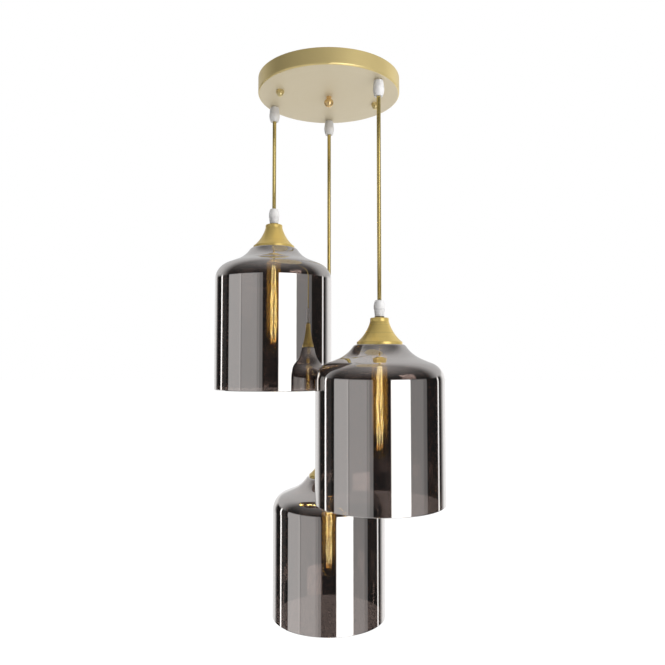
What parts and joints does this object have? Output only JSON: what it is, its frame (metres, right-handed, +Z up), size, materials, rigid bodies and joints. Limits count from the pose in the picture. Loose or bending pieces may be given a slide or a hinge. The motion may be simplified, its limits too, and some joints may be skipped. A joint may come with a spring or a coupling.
{
  "type": "cluster pendant light",
  "caption": "Cluster pendant: smoked glass cloche shades with tubular filament bulbs, hung at staggered heights on straight gold cables from a round canopy.",
  "frame": {"origin": "on the ceiling plane, at the centre of the bracket's two screw holes, which is the canopy's axis", "axes": "+Z up into the ceiling, -Y towards the viewer of the picture, +X to the viewer's right"},
  "size_m": [0.3952, 0.3904, 0.9725],
  "materials": {
    "brushed_gold": "satin brushed gold plating on spun steel",
    "polished_gold": "polished gold",
    "ring_gold": "satin gold plating",
    "zinc_steel": "zinc plated",
    "brass": "plain brass",
    "bulb_brass": "drawn brass shell",
    "dark_nickel": "dark nickel plating",
    "frosted_plastic": "translucent moulded plastic",
    "gold_cable": "metallic gold sheath",
    "smoked_glass": "smoked, lightly mirrored, clear",
    "amber_glass": "amber clear glass",
    "stem_glass": "clear pressed glass",
    "filament_wire": "glowing strands and plain wire",
    "silicone": "matt silicone",
    "black_thermoplastic": "moulded thermoplastic",
    "white_nylon": "moulded nylon",
    "lead_insulation": "smooth lead insulation"
  },
  "bodies": {
    "canopy": {"canopy_pan": "brushed_gold", "ceiling_bracket": "zinc_steel", "bracket_studs": "zinc_steel", "bracket_nuts": "zinc_steel", "canopy_cap_nuts": "polished_gold", "centre_finial": "polished_gold", "upper_nipples": "dark_nickel", "nipple_nuts": "zinc_steel", "upper_cord_grips": "frosted_plastic", "upper_grip_screws": "frosted_plastic", "cable_tails": "gold_cable", "terminal_block": "white_nylon", "terminal_screws": "zinc_steel", "canopy_leads": "lead_insulation", "earth_tag": "brass"},
    "high_hanger": {"high_cable": "gold_cable"},
    "high_lamp": {"high_cord_grip": "frosted_plastic", "high_grip_screw": "frosted_plastic", "high_nipple": "dark_nickel", "high_cap": "brushed_gold", "high_shade": "smoked_glass", "high_gasket": "silicone", "high_shade_ring": "ring_gold", "high_lampholder": "black_thermoplastic", "high_lampholder_contacts": "brass", "high_lead_tail": "gold_cable"},
    "high_bulb": {"high_bulb_base": "bulb_brass", "high_bulb_glass": "amber_glass", "high_bulb_stem": "stem_glass", "high_bulb_filaments": "filament_wire"},
    "middle_hanger": {"middle_cable": "gold_cable"},
    "middle_lamp": {"middle_cord_grip": "frosted_plastic", "middle_grip_screw": "frosted_plastic", "middle_nipple": "dark_nickel", "middle_cap": "brushed_gold", "middle_shade": "smoked_glass", "middle_gasket": "silicone", "middle_shade_ring": "ring_gold", "middle_lampholder": "black_thermoplastic", "middle_lampholder_contacts": "brass", "middle_lead_tail": "gold_cable"},
    "middle_bulb": {"middle_bulb_base": "bulb_brass", "middle_bulb_glass": "amber_glass", "middle_bulb_stem": "stem_glass", "middle_bulb_filaments": "filament_wire"},
    "low_hanger": {"low_cable": "gold_cable"},
    "low_lamp": {"low_cord_grip": "frosted_plastic", "low_grip_screw": "frosted_plastic", "low_nipple": "dark_nickel", "low_cap": "brushed_gold", "low_shade": "smoked_glass", "low_gasket": "silicone", "low_shade_ring": "ring_gold", "low_lampholder": "black_thermoplastic", "low_lampholder_contacts": "brass", "low_lead_tail": "gold_cable"},
    "low_bulb": {"low_bulb_base": "bulb_brass", "low_bulb_glass": "amber_glass", "low_bulb_stem": "stem_glass", "low_bulb_filaments": "filament_wire"}
  },
  "joints": [
    {"name": "high_swing", "type": "hinge", "parent": "canopy", "child": "high_hanger", "pos_m": [-0.10052, 0.04267, -0.0572], "axis": [0.3907, 0.9205, 0], "range_deg": [0, 15]},
    {"name": "high_drop", "type": "slide", "parent": "high_hanger", "child": "high_lamp", "axis": [0, 0, -1], "range_m": [-0.1, 0.05], "deforming": ["high_cable"]},
    {"name": "high_bulb_turn", "type": "hinge", "parent": "high_lamp", "child": "high_bulb", "pos_m": [-0.10052, 0.04267, -0.303], "axis": [0, 0, -1], "range_deg": [0, 1000]},
    {"name": "middle_swing", "type": "hinge", "parent": "canopy", "child": "middle_hanger", "pos_m": [0.08365, -0.07019, -0.0572], "axis": [-0.6428, -0.766, 0], "range_deg": [0, 15]},
    {"name": "middle_drop", "type": "slide", "parent": "middle_hanger", "child": "middle_lamp", "axis": [0, 0, -1], "range_m": [-0.2, 0], "deforming": ["middle_cable"]},
    {"name": "middle_bulb_turn", "type": "hinge", "parent": "middle_lamp", "child": "middle_bulb", "pos_m": [0.08365, -0.07019, -0.482], "axis": [0, 0, -1], "range_deg": [0, 1000]},
    {"name": "low_swing", "type": "hinge", "parent": "canopy", "child": "low_hanger", "pos_m": [0, 0.1092, -0.0572], "axis": [1, 0, 0], "range_deg": [0, 15]},
    {"name": "low_drop", "type": "slide", "parent": "low_hanger", "child": "low_lamp", "axis": [0, 0, -1], "range_m": [0, 0.25], "deforming": ["low_cable"]},
    {"name": "low_bulb_turn", "type": "hinge", "parent": "low_lamp", "child": "low_bulb", "pos_m": [0, 0.1092, -0.726], "axis": [0, 0, -1], "range_deg": [0, 1000]}
  ]
}
